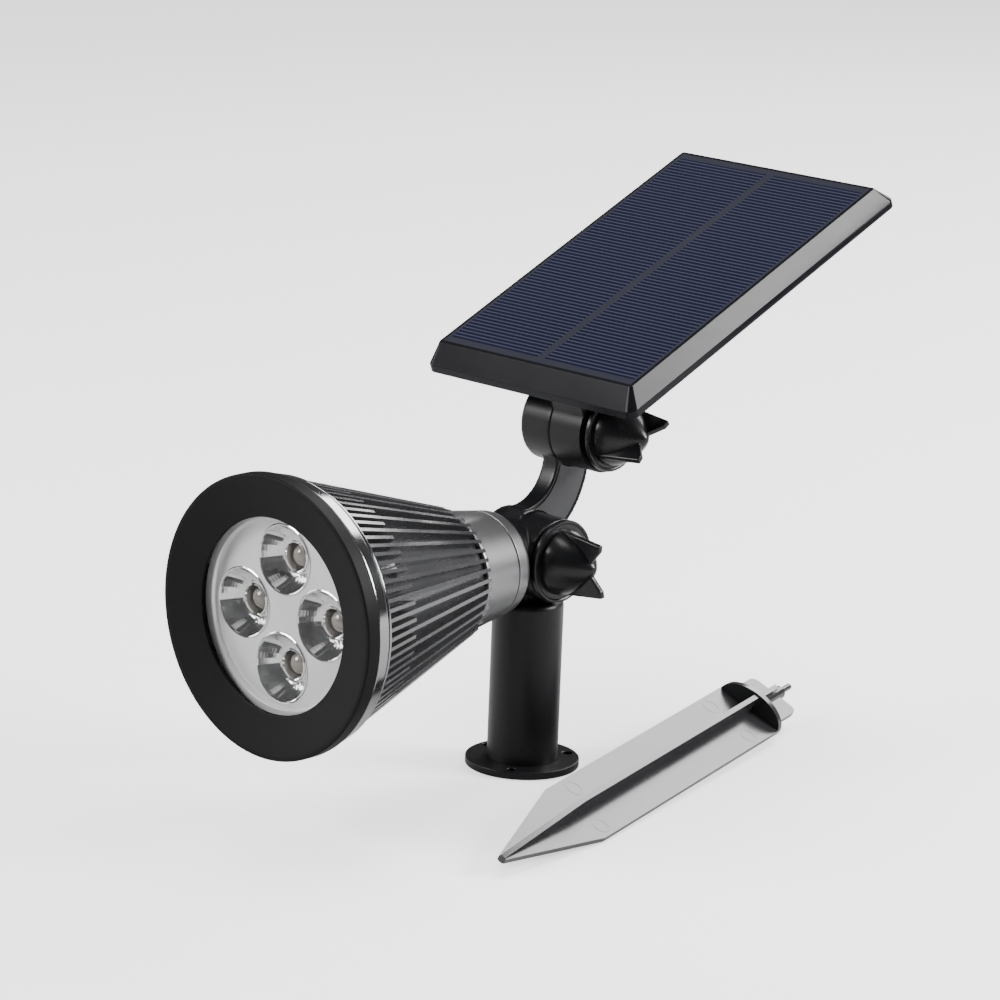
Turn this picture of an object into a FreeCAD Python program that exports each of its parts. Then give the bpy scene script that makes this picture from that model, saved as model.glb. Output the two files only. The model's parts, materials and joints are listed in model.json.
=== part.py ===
import FreeCAD, Part
import Sketcher
import math
import os

# Solar garden spotlight: a post on a screw-down flange, a tilting lamp head whose moulded
# pivot body carries a curved arm, a solar panel hinged on the arm, and a loose ground stake.
# Millimetres. Origin: centre of the flange's underside. +Z up, the lamp shines towards -Y,
# both clamp axes run along X with their knobs on +X.

doc = FreeCAD.newDocument("solar_spotlight")
sheet = doc.addObject("Spreadsheet::Sheet", "Sizes")

SIZES = {
    # base flange and post
    "flangeRadius": 19.3, "flangeThick": 2.6, "footSeat": 1.0, "socketRadius": 10.1,
    "screwCircle": 16.0, "screwHole": 1.7, "screwCount": 3,
    "postRadius": 12.0, "postTop": 58.5, "postRound": 2.5, "capThick": 4.5,
    "socketDepth": 49.4, "footHeight": 4.2, "seatRadius": 9.6,
    # lower clamp: post tongue in the slot of the pivot body
    "pivotHeight": 73.5, "tongueHalf": 4.0, "tongueRadius": 11.2, "stemHalf": 5.0,
    "barrelRadius": 14.0, "barrelLeft": 12.5, "barrelRight": 12.5, "slotHalf": 4.35,
    "slotRadius": 11.8, "slotReach": 24.0, "slotStart": -36.0, "slotSweep": 134.0,
    "boltRadius": 2.5, "boltBore": 2.6, "boltHead": 4.6, "boltHeadThick": 3.0,
    # arm
    "armCentreY": -3.5, "armCentreZ": 104.5, "armInner": 15.4, "armOuter": 31.7,
    "armThick": 6.8, "armSweep": 113.0, "coverInset": 1.7, "coverThick": 1.6, "coverGap": 0.12,
    "ductInner": 20.0, "ductOuter": 27.0, "ductDepth": 3.4,
    # upper clamp
    "hingeY": 21.0, "hingeZ": 114.8, "hingeRadius": 14.2, "hingeLeft": 13.0, "hingeFace": 0.1,
    "hingeGap": 0.3, "hingeRight": 13.6,
    # knobs
    "knobRim": 14.0, "upperRim": 13.4, "knobDisc": 1.7, "knobCone": 11.2,
    "knobLength": 14.4, "bladeThick": 2.0, "bladeRoot": 11.4, "bladeEnd": 9.2, "earLength": 2.8,
    "insertRadius": 3.6, "insertLength": 10.0, "washerThick": 0.6,
    # lamp head, distances from the lower clamp axis along the beam
    "neckRadius": 12.3, "flareStart": 14.0, "flareRadius": 15.4, "neckEnd": 18.4,
    "spigotRadius": 13.0, "spigotEnd": 30.0, "collarStart": 18.4, "collarSmall": 17.4,
    "collarLarge": 21.2, "collarEnd": 43.0, "collarGroove": 24.5, "grooveSize": 0.6,
    "sinkEnd": 111.2, "coreSmall": 19.6, "coreLarge": 38.6, "finSmall": 22.8, "finLarge": 43.4,
    "coreWall": 2.4, "finCount": 44, "finThick": 1.25, "shortFinLength": 17.0, "shortFinThick": 1.2,
    "ringSmall": 44.2, "ringLarge": 45.4, "ringBore": 40.0, "ringEnd": 118.0,
    "bezelRadius": 46.0, "bezelEnd": 123.3, "lipWidth": 1.3, "openingRadius": 31.7, "dishDepth": 3.0,
    "skirtRadius": 39.6, "skirtStart": 115.8, "lensSeat": 36.0, "lensFace": 119.4, "lensThick": 2.0,
    "sealInner": 33.6, "sealThick": 1.1,
    "plateFace": 115.0, "plateThick": 1.6, "plateRadius": 38.8, "cupCircle": 17.7, "cupRadius": 10.9,
    "cupFloor": 106.0, "cupFloorRadius": 7.6, "cupWall": 0.8,
    "bossCircle": 33.4, "bossStart": 97.0, "shelfRadius": 26.0,
    "boardFace": 104.9, "boardThick": 1.6, "boardRadius": 30.0, "emitterRadius": 3.9, "emitterBase": 0.9,
    "cellRadius": 9.2, "cellLength": 65.0, "cellStart": 34.0, "sleeveWall": 1.2,
    # panel, distances from the upper clamp axis in the tilted panel's own directions
    "panelTilt": 23.0, "panelAhead": 54.2, "topWidth": 86.0, "topLength": 133.0, "panelTop": 30.9,
    "rimWidth": 92.0, "rimLength": 144.0, "rimHeight": 2.6, "panelBottom": 21.8,
    "glassWidth": 83.6, "glassLength": 130.6, "glassThick": 2.5, "shellWall": 1.6,
    "coverWidth": 88.0, "coverLength": 140.0, "coverPlate": 1.6, "footHalf": 9.0,
    "footPlate": 2.6, "buttonRadius": 6.0, "buttonY": 44.0, "buttonProud": 2.2, "buttonTravel": 1.2,
    # ground stake lying beside the post
    "stakeX": 74.0, "stakeY": -90.0, "stakeTurn": 13.9, "stakeRoll": 28.0, "stakePitch": 1.27, "plateHalf": 7.4, "bladeHalf": 12.7,
    "ridgeHalf": 6.8, "stakeWall": 1.8, "pointLength": 48.0, "stakePlate": 176.0, "plateHeight": 2.4,
    "topHalf": 9.8, "topLengthStake": 18.0, "pinRadius": 1.1, "pinLength": 12.0,
}
for row, (alias, value) in enumerate(SIZES.items(), start=1):
    sheet.set(f"A{row}", alias)
    sheet.set(f"B{row}", str(value))
    sheet.setAlias(f"B{row}", alias)
doc.recompute()

ALONG_X = FreeCAD.Rotation(FreeCAD.Vector(0, 1, 0), 90)      # local +Z becomes +X
ALONG_BEAM = FreeCAD.Rotation(FreeCAD.Vector(1, 0, 0), 90)   # local +Z becomes -Y
UPRIGHT = FreeCAD.Rotation()
parts = []


def size(alias):
    return float(sheet.get(alias))


def linked(text):
    """Turn '$name' into a reference to the sheet."""
    return text.replace("$", "Sizes.")


def solid(kind, sizes, at=("0", "0", "0"), turn=UPRIGHT):
    """A Part primitive whose sizes and place follow the sheet."""
    item = doc.addObject("Part::" + kind, kind.lower())
    for name, text in sizes.items():
        item.setExpression(name, linked(text))
    item.Placement = FreeCAD.Placement(FreeCAD.Vector(), turn)
    for axis, text in zip("xyz", at):
        item.setExpression("Placement.Base." + axis, linked(text))
    return item


def fuse(*items):
    joined = doc.addObject("Part::MultiFuse", "joined")
    joined.Shapes = list(items)
    return joined


def common(*items):
    shared = doc.addObject("Part::MultiCommon", "shared")
    shared.Shapes = list(items)
    return shared


def cut(base, *tools):
    """Base with every tool taken away."""
    result = doc.addObject("Part::Cut", "trimmed")
    result.Base = base
    result.Tool = fuse(*tools) if len(tools) > 1 else tools[0]
    return result


def keep(item, label):
    """Register an object as a sub-part under its node name."""
    item.Label = label
    parts.append(item)
    return item


def keep_shape(shape, label, placement=None):
    """A sub-part whose shape is worked out here from the sheet's sizes."""
    item = doc.addObject("Part::Feature", label)
    item.Shape = shape
    if placement is not None:
        item.Placement = placement
    return keep(item, label)


def rod(radius, start, end, y="0", z="$pivotHeight"):
    """Cylinder along X between two x positions."""
    return solid("Cylinder", {"Radius": radius, "Height": f"({end}) - ({start})"}, (start, y, z), ALONG_X)


def upper_rod(radius, start, end):
    return rod(radius, start, end, "$hingeY", "$hingeZ")


def beam_rod(radius, start, end, x="0", rise="0"):
    """Cylinder along the beam between two distances from the lower clamp axis."""
    place = (x, f"-({start})", f"$pivotHeight + ({rise})")
    return solid("Cylinder", {"Radius": radius, "Height": f"({end}) - ({start})"}, place, ALONG_BEAM)


def beam_cone(first, second, start, end, x="0", rise="0"):
    place = (x, f"-({start})", f"$pivotHeight + ({rise})")
    sizes = {"Radius1": first, "Radius2": second, "Height": f"({end}) - ({start})"}
    return solid("Cone", sizes, place, ALONG_BEAM)


def block(x, y, z, at, turn=UPRIGHT):
    return solid("Box", {"Length": x, "Width": y, "Height": z}, at, turn)


def sector(radius, start, end, sweep, y, z, begin=0.0):
    """Pie slice about an X axis; its sweep starts 'begin' degrees past straight down, towards +Y."""
    turn = ALONG_X.multiply(FreeCAD.Rotation(FreeCAD.Vector(0, 0, 1), begin))
    sizes = {"Radius": radius, "Height": f"({end}) - ({start})", "Angle": sweep}
    return solid("Cylinder", sizes, (start, y, z), turn)


def origin_plane(body, role):
    return [plane for plane in body.Origin.OriginFeatures if plane.Role == role][0]


# ---- base flange and post ----

def base_flange():
    body = doc.addObject("PartDesign::Body", "base_flange")
    outline = body.newObject("Sketcher::SketchObject", "flange_outline")
    outline.AttachmentSupport = (origin_plane(body, "XY_Plane"), "")
    outline.MapMode = "FlatFace"
    up = FreeCAD.Vector(0, 0, 1)
    for index, alias in enumerate(("flangeRadius", "socketRadius")):
        outline.addGeometry(Part.Circle(FreeCAD.Vector(), up, size(alias)))
        outline.addConstraint(Sketcher.Constraint("Coincident", index, 3, -1, 1))
        bound = outline.addConstraint(Sketcher.Constraint("Radius", index, size(alias)))
        outline.setExpression(f"Constraints[{bound}]", linked("$" + alias))
    plate = body.newObject("PartDesign::Pad", "plate")
    plate.Profile = outline
    plate.setExpression("Length", linked("$flangeThick"))
    seat_sketch = body.newObject("Sketcher::SketchObject", "foot_seat_outline")
    seat_sketch.AttachmentSupport = (origin_plane(body, "XY_Plane"), "")
    seat_sketch.MapMode = "FlatFace"
    seat_sketch.setExpression("AttachmentOffset.Base.z", linked("$flangeThick"))
    seat_sketch.addGeometry(Part.Circle(FreeCAD.Vector(), up, size("postRadius")))
    seat_sketch.addConstraint(Sketcher.Constraint("Coincident", 0, 3, -1, 1))
    bound = seat_sketch.addConstraint(Sketcher.Constraint("Radius", 0, size("postRadius")))
    seat_sketch.setExpression(f"Constraints[{bound}]", linked("$postRadius"))
    doc.recompute()
    seat = body.newObject("PartDesign::Pocket", "foot_seat")
    seat.Profile = seat_sketch
    seat.setExpression("Length", linked("$footSeat"))
    hole_sketch = body.newObject("Sketcher::SketchObject", "screw_hole_outline")
    hole_sketch.AttachmentSupport = (origin_plane(body, "XY_Plane"), "")
    hole_sketch.MapMode = "FlatFace"
    hole_sketch.setExpression("AttachmentOffset.Base.z", linked("$flangeThick"))
    hole_sketch.addGeometry(Part.Circle(FreeCAD.Vector(-size("screwCircle"), 0, 0), up, size("screwHole")))
    hole_sketch.addConstraint(Sketcher.Constraint("PointOnObject", 0, 3, -1))
    across = hole_sketch.addConstraint(Sketcher.Constraint("DistanceX", 0, 3, -1, 1, size("screwCircle")))
    hole_sketch.setExpression(f"Constraints[{across}]", linked("$screwCircle"))
    bound = hole_sketch.addConstraint(Sketcher.Constraint("Radius", 0, size("screwHole")))
    hole_sketch.setExpression(f"Constraints[{bound}]", linked("$screwHole"))
    doc.recompute()
    hole = body.newObject("PartDesign::Pocket", "screw_hole")
    hole.Profile = hole_sketch
    hole.Type = "ThroughAll"
    doc.recompute()
    ring = body.newObject("PartDesign::PolarPattern", "screw_holes")
    ring.Originals = [hole]
    ring.Axis = (hole_sketch, ["N_Axis"])
    ring.Angle = 360
    ring.Occurrences = int(size("screwCount"))
    body.Tip = ring
    doc.recompute()
    keep(body, "base_flange")


def post_tube():
    foot = "$flangeThick - $footSeat"
    wall = solid("Cylinder", {"Radius": "$postRadius", "Height": f"$postTop - ({foot})"}, ("0", "0", foot))
    doc.recompute()
    crown = doc.addObject("Part::Fillet", "post_crown")
    crown.Base = wall
    top_edges = [i + 1 for i, edge in enumerate(wall.Shape.Edges)
                 if edge.Curve.TypeId == "Part::GeomCircle" and edge.BoundBox.ZMin > size("postTop") - 1]
    crown.Edges = [(i, size("postRound"), size("postRound")) for i in top_edges]
    bore = solid("Cylinder", {"Radius": "$socketRadius", "Height": "$socketDepth"})
    seat = solid("Cylinder", {"Radius": "$seatRadius", "Height": "$postTop - $capThick"})
    slot = block("2 * $tongueHalf", "2 * $stemHalf", "$capThick * 2",
                 ("-$tongueHalf", "-$stemHalf", "$postTop - $capThick - 1"))
    keep(cut(crown, bore, seat, slot, *foot_screw_rods(1.2)), "post_tube")


def foot_screw_rods(radius):
    """Two screws that hold the tongue's foot up against the inside of the post's cap."""
    place = size("tongueHalf") + 2.4
    return [solid("Cylinder", {"Radius": str(radius), "Height": "7.6"}, (str(side * place), "0", "$postTop - $capThick - 4.1"))
            for side in (-1, 1)]


def foot_screw_heads(radius):
    """Their heads, sunk in the foot so that the socket below stays clear."""
    place = size("tongueHalf") + 2.4
    low = "$postTop - $capThick - $footHeight"
    return [solid("Cylinder", {"Radius": str(radius), "Height": "1.3"}, (str(side * place), "0", low))
            for side in (-1, 1)]


def post_tongue():
    foot = solid("Cylinder", {"Radius": "$seatRadius - 0.1", "Height": "$footHeight"},
                 ("0", "0", "$postTop - $capThick - $footHeight"))
    stem = block("2 * $tongueHalf", "2 * $stemHalf", "$pivotHeight - $postTop + $capThick",
                 ("-$tongueHalf", "-$stemHalf", "$postTop - $capThick"))
    eye = rod("$tongueRadius", "-$tongueHalf", "$tongueHalf")
    bore = rod("$boltBore", "-$tongueHalf - 1", "$tongueHalf + 1")
    keep(cut(fuse(foot, stem, eye), bore, *foot_screw_rods(1.2), *foot_screw_heads(2.4)), "post_tongue")


def tongue_screws():
    heads = foot_screw_heads(2.2)
    shanks = foot_screw_rods(1.2)
    screws = doc.addObject("Part::Compound", "tongue_screws")
    screws.Links = [fuse(head, shank) for head, shank in zip(heads, shanks)]
    keep(screws, "tongue_screws")


# ---- pivot body with its arm ----

def arm_band(inner, outer, start, end):
    """Part of a ring about the arm's centre of curvature."""
    whole = sector(outer, start, end, "$armSweep", "$armCentreY", "$armCentreZ")
    core = rod(inner, f"({start}) - 1", f"({end}) + 1", "$armCentreY", "$armCentreZ")
    return cut(whole, core)


def between_barrels(band, clearance):
    lower = rod(f"$barrelRadius + {clearance}", "-20", "20")
    upper = upper_rod(f"$hingeRadius + {clearance}", "-20", "20")
    return cut(band, lower, upper)


def arm_root():
    """Wedge that leads the arm's inner face down on to the lower barrel."""
    low = size("armCentreZ") - size("armInner")
    y = size("armCentreY")
    profile = [(y, low), (y - 6.5, low - 6.5), (y - 3, low - 12), (y, low - 12)]
    wire = Part.makePolygon([FreeCAD.Vector(-size("armThick"), a, b) for a, b in profile + profile[:1]])
    wedge = doc.addObject("Part::Feature", "arm_root")
    wedge.Shape = Part.Face(wire).extrude(FreeCAD.Vector(size("armThick"), 0, 0))
    return wedge


def pivot_body():
    barrel = rod("$barrelRadius", "-$barrelLeft", "$barrelRight")
    neck = beam_rod("$neckRadius", "0", "$flareStart")
    flare = beam_cone("$neckRadius", "$flareRadius", "$flareStart", "$neckEnd")
    spigot = beam_rod("$spigotRadius", "$neckEnd", "$spigotEnd")
    arm = arm_band("$armInner", "$armOuter", "-$armThick", "0")
    top_barrel = upper_rod("$hingeRadius", "-$hingeLeft", "$hingeFace")
    pocket = rod("$slotRadius", "-$slotHalf", "$slotHalf")
    sweep = sector("$slotReach", "-$slotHalf", "$slotHalf", "$slotSweep", "0", "$pivotHeight", size("slotStart"))
    bore = rod("$boltBore", "-30", "30")
    head = rod("$boltHead + 0.1", "-30", "-$barrelLeft + $boltHeadThick + 0.3")
    top_bore = upper_rod("$boltBore", "-30", "30")
    top_head = upper_rod("$boltHead + 0.1", "-30", "-$hingeLeft + $boltHeadThick + 0.3")
    recess = between_barrels(arm_band("$armInner + $coverInset - $coverGap", "$armOuter - $coverInset + $coverGap",
                                      "-$coverThick", "5"), 0.4)
    duct = between_barrels(arm_band("$ductInner", "$ductOuter", "-$coverThick - $ductDepth", "-$coverThick + 0.1"), 1.5)
    body = fuse(barrel, neck, flare, spigot, arm, arm_root(), top_barrel)
    keep(cut(body, pocket, sweep, bore, head, top_bore, top_head, recess, duct), "pivot_body")


def arm_cover():
    band = arm_band("$armInner + $coverInset", "$armOuter - $coverInset", "-$coverThick", "0")
    keep(between_barrels(band, 0.5), "arm_cover")


# ---- clamp bolts, washers and knobs ----

def clamp_bolt(make, left, tip, label):
    head = make("$boltHead", left + " + 0.2", left + " + 0.2 + $boltHeadThick")
    shank = make("$boltRadius", left + " + 0.2", tip)
    keep(fuse(head, shank), label)


def clamp_washer(make, start, radius, thick, label):
    keep(cut(make(radius, start, f"{start} + {thick}"), make("$boltBore", "-40", "40")), label)


def clamp_knob(make, start, rim, turn_degrees, centre, label):
    """Disc, bullet nose in four bands and a thin two-eared blade across it."""
    front = f"{start} + $knobDisc"
    disc = make(rim, start, front)
    bands = []
    for index in range(4):
        near, far = index / 4, (index + 1) / 4
        sizes = {"Radius1": f"$knobCone * {1 - near ** 1.7:.5f} + 0.8 * {near:.2f}",
                 "Radius2": f"$knobCone * {1 - far ** 1.7:.5f} + 0.8 * {far:.2f}", "Height": "$knobLength / 4"}
        bands.append(solid("Cone", sizes, (f"{front} + $knobLength * {near:.2f}", centre[0], centre[1]), ALONG_X))
    end = size("knobLength") + size("earLength")
    notch = size("knobLength") - 0.6
    outline = [(0, -size("bladeRoot")), (end, -size("bladeEnd")), (end, -size("bladeEnd") + 2.4),
               (notch, 0), (end, size("bladeEnd") - 2.4), (end, size("bladeEnd")), (0, size("bladeRoot"))]
    half = size("bladeThick") / 2
    wire = Part.makePolygon([FreeCAD.Vector(x, -half, z) for x, z in outline + outline[:1]])
    blade = doc.addObject("Part::Feature", "knob_blade")
    blade.Shape = Part.Face(wire).extrude(FreeCAD.Vector(0, 2 * half, 0))
    blade.Placement = FreeCAD.Placement(FreeCAD.Vector(), FreeCAD.Rotation(FreeCAD.Vector(1, 0, 0), turn_degrees))
    for axis, text in zip("xyz", (front, centre[0], centre[1])):
        blade.setExpression("Placement.Base." + axis, linked(text))
    bore = make("$insertRadius", f"{start} - 1", f"{start} + $insertLength")
    keep(cut(fuse(disc, *bands, blade), bore), label)


def knob_insert(make, start, label):
    sleeve = make("$insertRadius", start, f"{start} + $insertLength")
    keep(cut(sleeve, make("$boltRadius", f"{start} - 1", "60")), label)


# ---- lamp head ----

def neck_collar():
    shell = beam_cone("$collarSmall", "$collarLarge", "$collarStart", "$collarEnd")
    socket = beam_rod("$spigotRadius", "0", "$spigotEnd")
    hollow = beam_rod("$spigotRadius + 2.6", "$spigotEnd", "$collarEnd + 1")
    groove = cut(beam_rod("30", "$collarGroove", "$collarGroove + $grooveSize"),
                 beam_rod("$collarSmall + 0.2", "0", "60"))
    keep(cut(shell, socket, hollow, groove), "neck_collar")


def spaced(count, index, reach, begin=0.0):
    """Sideways and upward offset of one of several places evenly spaced round the beam."""
    angle = math.radians(begin + 360.0 / count * index)
    return round(reach * math.sin(angle), 6), round(reach * math.cos(angle), 6)


def heat_sink():
    """Hollow cone with long cooling fins, and short ones between them at the wide end."""
    start, end = size("collarEnd"), size("sinkEnd")
    axis_place = FreeCAD.Placement(FreeCAD.Vector(0, -start, size("pivotHeight")), ALONG_BEAM)
    length = end - start
    envelope = Part.makeCone(size("finSmall"), size("finLarge"), length)
    core = Part.makeCone(size("coreSmall"), size("coreLarge"), length)
    wall = size("coreWall")
    hollow = Part.makeCone(size("coreSmall") - wall, size("coreLarge") - wall, length)
    fins = []
    count = int(size("finCount"))
    for index in range(count):
        spin = FreeCAD.Rotation(FreeCAD.Vector(0, 0, 1), 360.0 / count * index)
        thick = size("finThick")
        fin = Part.makeBox(60, thick, length, FreeCAD.Vector(10, -thick / 2, 0))
        fin.Placement = FreeCAD.Placement(FreeCAD.Vector(), spin)
        fins.append(fin)
        spin = FreeCAD.Rotation(FreeCAD.Vector(0, 0, 1), 360.0 / count * (index + 0.5))
        thick = size("shortFinThick")
        reach = size("shortFinLength")
        fin = Part.makeBox(60, thick, reach, FreeCAD.Vector(10, -thick / 2, length - reach))
        fin.Placement = FreeCAD.Placement(FreeCAD.Vector(), spin)
        fins.append(fin)
    finned = envelope.common(Part.makeCompound(fins))
    inner = Part.makeCone(size("coreSmall") - 1, size("coreLarge") - 1, length)
    shelf_low = size("boardFace") - size("boardThick") - 2 - start
    shelf = Part.makeCylinder(60, 2, FreeCAD.Vector(0, 0, shelf_low)).common(inner)
    shelf = shelf.cut(Part.makeCylinder(size("shelfRadius"), length))
    bosses, pilots = [], []
    for index in range(3):
        x, rise = spaced(3, index, size("bossCircle"), 60)
        foot = FreeCAD.Vector(x, rise, size("bossStart") - start)
        tall = size("plateFace") - size("plateThick") - size("bossStart")
        bosses.append(Part.makeCylinder(3.0, tall, foot))
        pilots.append(Part.makeCylinder(1.1, tall + 1, foot))
    fins_and_core = core.fuse(finned.Solids).cut(hollow)
    shape = fins_and_core.fuse([shelf] + bosses).cut(Part.makeCompound(pilots)).removeSplitter()
    keep_shape(shape, "heat_sink", axis_place)


def rim_ring():
    ring = beam_cone("$ringSmall", "$ringLarge", "$sinkEnd", "$ringEnd")
    keep(cut(ring, beam_rod("$ringBore", "$sinkEnd - 1", "$ringEnd + 1")), "rim_ring")


def bezel():
    face = beam_rod("$bezelRadius", "$ringEnd", "$bezelEnd")
    skirt = beam_rod("$skirtRadius", "$skirtStart", "$ringEnd")
    seat = beam_rod("$lensSeat", "$skirtStart - 1", "$lensFace")
    opening = beam_rod("$openingRadius", "$lensFace", "$bezelEnd + 1")
    dish = beam_cone("$openingRadius", "$bezelRadius - $lipWidth", "$bezelEnd - $dishDepth", "$bezelEnd")
    keep(cut(fuse(face, skirt), seat, opening, dish), "bezel")


def lens_and_seal():
    keep(beam_rod("$lensSeat - 0.1", "$lensFace - $lensThick", "$lensFace"), "front_lens")
    back = "$lensFace - $lensThick - $sealThick"
    keep(cut(beam_rod("$lensSeat - 0.1", back, "$lensFace - $lensThick"),
             beam_rod("$sealInner", "$skirtStart - 5", "$lensFace")), "lens_seal")


def around_beam(index):
    """One of the four lamp positions, as text for an expression."""
    return tuple(str(value) for value in spaced(4, index, size("cupCircle")))


def reflector():
    back = "$plateFace - $plateThick"
    plate = beam_rod("$plateRadius", back, "$plateFace")
    bowls, hollows = [], []
    for index in range(4):
        x, rise = around_beam(index)
        bowls.append(beam_cone("$cupFloorRadius + $cupWall", "$cupRadius + $cupWall", "$cupFloor", back, x, rise))
        hollows.append(beam_cone("$cupFloorRadius", "$cupRadius", "$cupFloor", "$plateFace", x, rise))
    keep(cut(fuse(plate, *bowls), *hollows, *reflector_screw_rods("1.1", "$plateFace - 5", "$plateFace + 1")), "reflector")


def reflector_screw_rods(radius, start, end):
    rods = []
    for index in range(3):
        x, rise = spaced(3, index, size("bossCircle"), 60)
        rods.append(beam_rod(radius, start, end, str(x), str(rise)))
    return rods


def reflector_screws():
    shanks = reflector_screw_rods("1.1", "$plateFace - 8", "$plateFace")
    heads = reflector_screw_rods("2", "$plateFace", "$plateFace + 0.6")
    screws = doc.addObject("Part::Compound", "reflector_screws")
    screws.Links = [fuse(shank, head) for shank, head in zip(shanks, heads)]
    keep(screws, "reflector_screws")


def led_board():
    keep(beam_rod("$boardRadius", "$boardFace - $boardThick", "$boardFace"), "led_board")


def led_emitters():
    emitters = doc.addObject("Part::Compound", "led_emitters")
    links = []
    for index in range(4):
        x, rise = around_beam(index)
        base = beam_rod("$emitterRadius", "$boardFace", "$boardFace + $emitterBase", x, rise)
        dome = solid("Sphere", {"Radius": "$emitterRadius"},
                     (x, "-($boardFace + $emitterBase)", f"$pivotHeight + ({rise})"))
        front = beam_rod("$emitterRadius + 1", "$boardFace + $emitterBase", "$boardFace + 12", x, rise)
        links.append(fuse(base, common(dome, front)))
    emitters.Links = links
    keep(emitters, "led_emitters")


def battery_and_boards():
    keep(beam_rod("$cellRadius", "$cellStart", "$cellStart + $cellLength"), "battery_cell")
    sleeve = beam_rod("$cellRadius + $sleeveWall", "$cellStart + 8", "$cellStart + $cellLength - 6")
    ribs = [block("34", "14", "1.6", ("-17", "-60", "$pivotHeight - 0.8")),
            block("1.6", "14", "34", ("-0.8", "-60", "$pivotHeight - 17")),
            block("6", "16", "5", ("-3", "-86", "$pivotHeight + 9"))]
    cell_room = beam_rod("$cellRadius", "$cellStart", "$cellStart + $cellLength")
    keep(cut(fuse(sleeve, *ribs), cell_room), "battery_sleeve")
    keep(block("22", "34", "1.6", ("-11", "-($boardFace - 3)", "$pivotHeight + 14")), "control_board")


# ---- panel ----

def panel_place():
    return FreeCAD.Placement(FreeCAD.Vector(0, size("hingeY"), size("hingeZ")),
                             FreeCAD.Rotation(FreeCAD.Vector(1, 0, 0), size("panelTilt")))


def plate_shape(width, length, bottom, thick, round_by=0.0, ahead=None):
    """Flat plate centred over the panel, with rounded upright corners."""
    middle = size("panelAhead") if ahead is None else ahead
    shape = Part.makeBox(width, length, thick, FreeCAD.Vector(-width / 2, middle - length / 2, bottom))
    if round_by > 0:
        upright = [edge for edge in shape.Edges if abs(edge.tangentAt(edge.FirstParameter).z) > 0.9]
        shape = shape.makeFillet(round_by, upright)
    return shape


def rounded_outline(width, length, height, corner):
    """Closed wire: a rectangle with round corners at one height over the panel's centre."""
    plate = plate_shape(width, length, height, 1.0, corner)
    lowest = min(plate.Faces, key=lambda face: face.CenterOfMass.z)
    return lowest.OuterWire


def rod_n(radius, x, y, start, end):
    return Part.makeCylinder(radius, end - start, FreeCAD.Vector(x, y, start))


def cover_screw_spots():
    return [(x * 38.0, size("panelAhead") + y * 63.0) for x in (-1, 1) for y in (-1, 1)]


def knuckle_screw_spots():
    return [(x, y) for x in (-8.5, 18.5) for y in (-6.0, 16.0)]


def panel_housing():
    bottom, top = size("panelBottom"), size("panelTop")
    rim = plate_shape(size("rimWidth"), size("rimLength"), bottom, size("rimHeight"), 3.0)
    lower = rounded_outline(size("rimWidth"), size("rimLength"), bottom + size("rimHeight"), 3.0)
    upper = rounded_outline(size("topWidth"), size("topLength"), top, 1.0)
    bevel = Part.makeLoft([lower, upper], True, True)
    glass_seat = plate_shape(size("glassWidth") + 0.2, size("glassLength") + 0.2, top - size("glassThick"), 9)
    cover_seat = plate_shape(size("coverWidth") + 0.3, size("coverLength") + 0.3, bottom - 1,
                             size("coverPlate") + 1)
    cavity = plate_shape(size("topWidth") - 6, size("topLength") - 6, bottom,
                         top - bottom - size("glassThick") - size("shellWall"))
    posts = [rod_n(4.0, x, y, bottom + size("coverPlate"), top - size("glassThick") - 1)
             for x, y in cover_screw_spots()]
    shape = rim.fuse(bevel).cut(glass_seat).cut(cavity).fuse(posts)
    pilots = [rod_n(1.1, x, y, bottom, bottom + 5.4) for x, y in cover_screw_spots()]
    keep_shape(shape.cut(cover_seat).cut(Part.makeCompound(pilots)).removeSplitter(), "panel_housing", panel_place())


def solar_panel():
    shape = plate_shape(size("glassWidth"), size("glassLength"), size("panelTop") - size("glassThick"),
                        size("glassThick"))
    keep_shape(shape, "solar_panel", panel_place())


def panel_cover():
    bottom, thick = size("panelBottom"), size("coverPlate")
    shape = plate_shape(size("coverWidth"), size("coverLength"), bottom, thick)
    shape = shape.cut(rod_n(size("buttonRadius") + 0.25, 0, size("buttonY"), bottom - 1, bottom + 5))
    for x, y in cover_screw_spots():
        shape = shape.cut(rod_n(1.1, x, y, bottom - 1, bottom + 5)).cut(rod_n(2.5, x, y, bottom - 1, bottom + 0.8))
    for x, y in knuckle_screw_spots():
        shape = shape.cut(rod_n(1.1, x, y, bottom - 1, bottom + 5))
    keep_shape(shape, "panel_cover", panel_place())


def cover_screws():
    bottom = size("panelBottom")
    screws = [rod_n(2.4, x, y, bottom, bottom + 0.8).fuse(rod_n(1.1, x, y, bottom + 0.8, bottom + 5.2))
              for x, y in cover_screw_spots()]
    keep_shape(Part.makeCompound(screws), "cover_screws", panel_place())


def panel_bracket():
    bottom, plate = size("panelBottom"), size("footPlate")
    left, right = size("hingeFace") + size("hingeGap"), size("hingeRight")
    foot_half = size("footHalf")
    base = Part.makeBox(34, 34, plate, FreeCAD.Vector(-12, -14, bottom - plate))
    base = base.makeFillet(4, [e for e in base.Edges if abs(e.tangentAt(e.FirstParameter).z) > 0.9])
    foot = Part.makeBox(right - left, 2 * foot_half, bottom - plate, FreeCAD.Vector(left, -foot_half, 0))
    turn = FreeCAD.Vector(1, 0, 0)
    barrel = Part.makeCylinder(size("hingeRadius"), right - left, FreeCAD.Vector(left, 0, 0), turn)
    bore = Part.makeCylinder(size("boltBore"), 60, FreeCAD.Vector(-20, 0, 0), turn)
    shape = base.fuse(foot).fuse(barrel).cut(bore)
    for x, y in knuckle_screw_spots():
        shape = shape.cut(rod_n(1.1, x, y, bottom - plate - 1, bottom + 1))
    keep_shape(shape.removeSplitter(), "panel_bracket", panel_place())


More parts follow.
